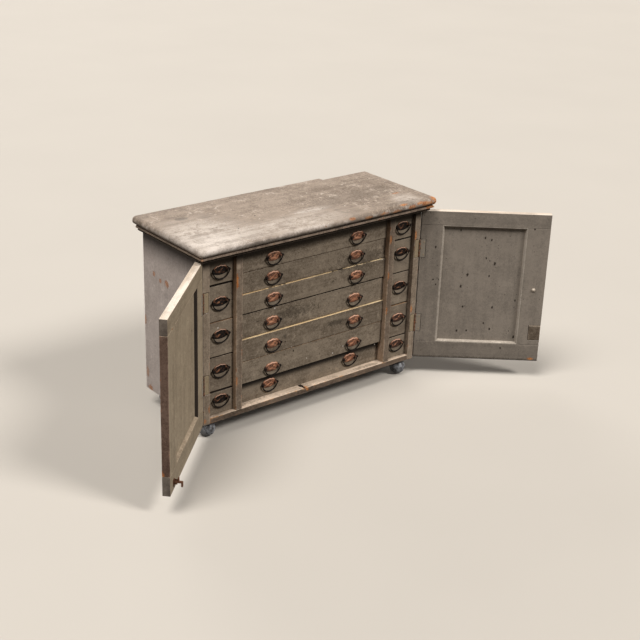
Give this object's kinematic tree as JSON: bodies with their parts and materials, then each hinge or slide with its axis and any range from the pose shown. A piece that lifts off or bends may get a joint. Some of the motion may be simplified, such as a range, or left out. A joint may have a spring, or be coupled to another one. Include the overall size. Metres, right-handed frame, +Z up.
{
  "type": "workshop cabinet",
  "caption": "Low painted wooden cabinet on hooded ball casters, with panelled doors over banks of shallow drawers that have bail pulls.",
  "frame": {"origin": "on the floor, under the middle of the carcass", "axes": "+X to the right along the front, +Y to the back, +Z up; the doors and drawers face -Y"},
  "size_m": [1.5401, 0.6382, 0.648],
  "materials": {
    "worn_top": "grey paint worn to bare wood",
    "carcass_paint": "worn grey paint",
    "door_paint": "worn grey paint",
    "drawer_paint": "worn grey paint",
    "bare_wood": "unpainted, aged",
    "rusty_iron": "rusted",
    "dark_wire": "dark, worn",
    "caster_iron": "grey, scuffed"
  },
  "bodies": {
    "carcass": {"top_board": "worn_top", "carcass_top": "bare_wood", "top_moulding": "worn_top", "left_side": "carcass_paint", "right_side": "carcass_paint", "dividers": "carcass_paint", "bottom_board": "carcass_paint", "back_boards": "bare_wood", "drawer_runners": "bare_wood", "hinge_leaves": "rusty_iron", "caster_plates": "caster_iron"},
    "left_door": {"left_door_frame": "door_paint", "left_door_panel": "door_paint", "left_door_ironwork": "rusty_iron"},
    "right_door": {"right_door_frame": "door_paint", "right_door_panel": "door_paint", "right_door_ironwork": "rusty_iron"},
    "catch": {"catch_lever": "rusty_iron"},
    "centre_drawer_1": {"centre_drawer_1": "drawer_paint"},
    "centre_bails_1": {"centre_bails_1": "dark_wire"},
    "centre_drawer_2": {"centre_drawer_2": "drawer_paint"},
    "centre_bails_2": {"centre_bails_2": "dark_wire"},
    "centre_drawer_3": {"centre_drawer_3": "drawer_paint"},
    "centre_bails_3": {"centre_bails_3": "dark_wire"},
    "centre_drawer_4": {"centre_drawer_4": "drawer_paint"},
    "centre_bails_4": {"centre_bails_4": "dark_wire"},
    "centre_drawer_5": {"centre_drawer_5": "drawer_paint"},
    "centre_bails_5": {"centre_bails_5": "dark_wire"},
    "centre_drawer_6": {"centre_drawer_6": "drawer_paint"},
    "centre_bails_6": {"centre_bails_6": "dark_wire"},
    "centre_drawer_7": {"centre_drawer_7": "drawer_paint"},
    "centre_bails_7": {"centre_bails_7": "dark_wire"},
    "left_drawer_1": {"left_drawer_1": "drawer_paint"},
    "left_bail_1": {"left_bail_1": "dark_wire"},
    "left_drawer_2": {"left_drawer_2": "drawer_paint"},
    "left_bail_2": {"left_bail_2": "dark_wire"},
    "left_drawer_3": {"left_drawer_3": "drawer_paint"},
    "left_bail_3": {"left_bail_3": "dark_wire"},
    "left_drawer_4": {"left_drawer_4": "drawer_paint"},
    "left_bail_4": {"left_bail_4": "dark_wire"},
    "left_drawer_5": {"left_drawer_5": "drawer_paint"},
    "left_bail_5": {"left_bail_5": "dark_wire"},
    "right_drawer_1": {"right_drawer_1": "drawer_paint"},
    "right_bail_1": {"right_bail_1": "dark_wire"},
    "right_drawer_2": {"right_drawer_2": "drawer_paint"},
    "right_bail_2": {"right_bail_2": "dark_wire"},
    "right_drawer_3": {"right_drawer_3": "drawer_paint"},
    "right_bail_3": {"right_bail_3": "dark_wire"},
    "right_drawer_4": {"right_drawer_4": "drawer_paint"},
    "right_bail_4": {"right_bail_4": "dark_wire"},
    "right_drawer_5": {"right_drawer_5": "drawer_paint"},
    "right_bail_5": {"right_bail_5": "dark_wire"},
    "caster_1": {"caster_hood_1": "caster_iron"},
    "wheel_1": {"caster_wheel_1": "caster_iron"},
    "caster_2": {"caster_hood_2": "caster_iron"},
    "wheel_2": {"caster_wheel_2": "caster_iron"},
    "caster_3": {"caster_hood_3": "caster_iron"},
    "wheel_3": {"caster_wheel_3": "caster_iron"},
    "caster_4": {"caster_hood_4": "caster_iron"},
    "wheel_4": {"caster_wheel_4": "caster_iron"}
  },
  "joints": [
    {"name": "left_door_hinge", "type": "hinge", "parent": "carcass", "child": "left_door", "pos_m": [-0.4334, -0.16725, 0.33], "axis": [0, 0, -1], "range_deg": [-136, 44]},
    {"name": "right_door_hinge", "type": "hinge", "parent": "carcass", "child": "right_door", "pos_m": [0.4334, -0.16725, 0.33], "axis": [0, 0, 1], "range_deg": [-140, 40]},
    {"name": "catch_pivot", "type": "hinge", "parent": "left_door", "child": "catch", "pos_m": [-0.71171, -0.44609, 0.093], "axis": [-0.7193, -0.6947, 0], "range_deg": [-10, 25]},
    {"name": "centre_drawer_1_slide", "type": "slide", "parent": "carcass", "child": "centre_drawer_1", "axis": [0, -1, 0], "range_m": [0, 0.2]},
    {"name": "centre_drawer_2_slide", "type": "slide", "parent": "carcass", "child": "centre_drawer_2", "axis": [0, -1, 0], "range_m": [0, 0.2]},
    {"name": "centre_drawer_3_slide", "type": "slide", "parent": "carcass", "child": "centre_drawer_3", "axis": [0, -1, 0], "range_m": [0, 0.2]},
    {"name": "centre_drawer_4_slide", "type": "slide", "parent": "carcass", "child": "centre_drawer_4", "axis": [0, -1, 0], "range_m": [0, 0.2]},
    {"name": "centre_drawer_5_slide", "type": "slide", "parent": "carcass", "child": "centre_drawer_5", "axis": [0, -1, 0], "range_m": [0, 0.2]},
    {"name": "centre_drawer_6_slide", "type": "slide", "parent": "carcass", "child": "centre_drawer_6", "axis": [0, -1, 0], "range_m": [0, 0.2]},
    {"name": "centre_drawer_7_slide", "type": "slide", "parent": "carcass", "child": "centre_drawer_7", "axis": [0, -1, 0], "range_m": [0, 0.2]},
    {"name": "left_drawer_1_slide", "type": "slide", "parent": "carcass", "child": "left_drawer_1", "axis": [0, -1, 0], "range_m": [0, 0.2]},
    {"name": "left_drawer_2_slide", "type": "slide", "parent": "carcass", "child": "left_drawer_2", "axis": [0, -1, 0], "range_m": [0, 0.2]},
    {"name": "left_drawer_3_slide", "type": "slide", "parent": "carcass", "child": "left_drawer_3", "axis": [0, -1, 0], "range_m": [0, 0.2]},
    {"name": "left_drawer_4_slide", "type": "slide", "parent": "carcass", "child": "left_drawer_4", "axis": [0, -1, 0], "range_m": [0, 0.2]},
    {"name": "left_drawer_5_slide", "type": "slide", "parent": "carcass", "child": "left_drawer_5", "axis": [0, -1, 0], "range_m": [0, 0.2]},
    {"name": "right_drawer_1_slide", "type": "slide", "parent": "carcass", "child": "right_drawer_1", "axis": [0, -1, 0], "range_m": [0, 0.2]},
    {"name": "right_drawer_2_slide", "type": "slide", "parent": "carcass", "child": "right_drawer_2", "axis": [0, -1, 0], "range_m": [0, 0.2]},
    {"name": "right_drawer_3_slide", "type": "slide", "parent": "carcass", "child": "right_drawer_3", "axis": [0, -1, 0], "range_m": [0, 0.2]},
    {"name": "right_drawer_4_slide", "type": "slide", "parent": "carcass", "child": "right_drawer_4", "axis": [0, -1, 0], "range_m": [0, 0.2]},
    {"name": "right_drawer_5_slide", "type": "slide", "parent": "carcass", "child": "right_drawer_5", "axis": [0, -1, 0], "range_m": [0, 0.2]},
    {"name": "caster_1_swivel", "type": "hinge", "parent": "carcass", "child": "caster_1", "pos_m": [-0.387, -0.1345, 0.05], "axis": [0, 0, 1], "continuous": true},
    {"name": "wheel_1_spin", "type": "hinge", "parent": "caster_1", "child": "wheel_1", "pos_m": [-0.39619, -0.12679, 0.027], "axis": [0.6634, -0.5567, 0.5], "continuous": true},
    {"name": "caster_2_swivel", "type": "hinge", "parent": "carcass", "child": "caster_2", "pos_m": [0.387, -0.1345, 0.05], "axis": [0, 0, 1], "continuous": true},
    {"name": "wheel_2_spin", "type": "hinge", "parent": "caster_2", "child": "wheel_2", "pos_m": [0.39828, -0.1304, 0.027], "axis": [-0.8138, -0.2962, 0.5], "continuous": true},
    {"name": "caster_3_swivel", "type": "hinge", "parent": "carcass", "child": "caster_3", "pos_m": [-0.387, 0.1345, 0.05], "axis": [0, 0, 1], "continuous": true},
    {"name": "wheel_3_spin", "type": "hinge", "parent": "caster_3", "child": "wheel_3", "pos_m": [-0.37572, 0.1304, 0.027], "axis": [-0.8138, 0.2962, 0.5], "continuous": true},
    {"name": "caster_4_swivel", "type": "hinge", "parent": "carcass", "child": "caster_4", "pos_m": [0.387, 0.1345, 0.05], "axis": [0, 0, 1], "continuous": true},
    {"name": "wheel_4_spin", "type": "hinge", "parent": "caster_4", "child": "wheel_4", "pos_m": [0.37572, 0.1304, 0.027], "axis": [0.8138, 0.2962, 0.5], "continuous": true},
    {"name": "centre_bails_1_swing", "type": "hinge", "parent": "centre_drawer_1", "child": "centre_bails_1", "pos_m": [0.004, -0.1575, 0.556], "axis": [-1, 0, 0], "range_deg": [0, 110]},
    {"name": "centre_bails_2_swing", "type": "hinge", "parent": "centre_drawer_2", "child": "centre_bails_2", "pos_m": [0.004, -0.1545, 0.49], "axis": [-1, 0, 0], "range_deg": [0, 110]},
    {"name": "centre_bails_3_swing", "type": "hinge", "parent": "centre_drawer_3", "child": "centre_bails_3", "pos_m": [0.004, -0.1585, 0.421], "axis": [-1, 0, 0], "range_deg": [0, 110]},
    {"name": "centre_bails_4_swing", "type": "hinge", "parent": "centre_drawer_4", "child": "centre_bails_4", "pos_m": [0.004, -0.1535, 0.34], "axis": [-1, 0, 0], "range_deg": [0, 110]},
    {"name": "centre_bails_5_swing", "type": "hinge", "parent": "centre_drawer_5", "child": "centre_bails_5", "pos_m": [0.004, -0.1585, 0.264], "axis": [-1, 0, 0], "range_deg": [0, 110]},
    {"name": "centre_bails_6_swing", "type": "hinge", "parent": "centre_drawer_6", "child": "centre_bails_6", "pos_m": [0.004, -0.1565, 0.182], "axis": [-1, 0, 0], "range_deg": [0, 110]},
    {"name": "centre_bails_7_swing", "type": "hinge", "parent": "centre_drawer_7", "child": "centre_bails_7", "pos_m": [0.004, -0.1435, 0.12], "axis": [-1, 0, 0], "range_deg": [0, 110]},
    {"name": "left_bail_1_swing", "type": "hinge", "parent": "left_drawer_1", "child": "left_bail_1", "pos_m": [-0.3615, -0.1585, 0.553], "axis": [-1, 0, 0], "range_deg": [0, 110]},
    {"name": "left_bail_2_swing", "type": "hinge", "parent": "left_drawer_2", "child": "left_bail_2", "pos_m": [-0.3615, -0.1565, 0.452], "axis": [-1, 0, 0], "range_deg": [0, 110]},
    {"name": "left_bail_3_swing", "type": "hinge", "parent": "left_drawer_3", "child": "left_bail_3", "pos_m": [-0.3615, -0.1585, 0.346], "axis": [-1, 0, 0], "range_deg": [0, 110]},
    {"name": "left_bail_4_swing", "type": "hinge", "parent": "left_drawer_4", "child": "left_bail_4", "pos_m": [-0.3615, -0.1575, 0.229], "axis": [-1, 0, 0], "range_deg": [0, 110]},
    {"name": "left_bail_5_swing", "type": "hinge", "parent": "left_drawer_5", "child": "left_bail_5", "pos_m": [-0.3615, -0.1585, 0.128], "axis": [-1, 0, 0], "range_deg": [0, 110]},
    {"name": "right_bail_1_swing", "type": "hinge", "parent": "right_drawer_1", "child": "right_bail_1", "pos_m": [0.3655, -0.1585, 0.553], "axis": [-1, 0, 0], "range_deg": [0, 110]},
    {"name": "right_bail_2_swing", "type": "hinge", "parent": "right_drawer_2", "child": "right_bail_2", "pos_m": [0.3655, -0.1585, 0.462], "axis": [-1, 0, 0], "range_deg": [0, 110]},
    {"name": "right_bail_3_swing", "type": "hinge", "parent": "right_drawer_3", "child": "right_bail_3", "pos_m": [0.3655, -0.1575, 0.341], "axis": [-1, 0, 0], "range_deg": [0, 110]},
    {"name": "right_bail_4_swing", "type": "hinge", "parent": "right_drawer_4", "child": "right_bail_4", "pos_m": [0.3655, -0.1585, 0.224], "axis": [-1, 0, 0], "range_deg": [0, 110]},
    {"name": "right_bail_5_swing", "type": "hinge", "parent": "right_drawer_5", "child": "right_bail_5", "pos_m": [0.3655, -0.1585, 0.128], "axis": [-1, 0, 0], "range_deg": [0, 110]}
  ]
}
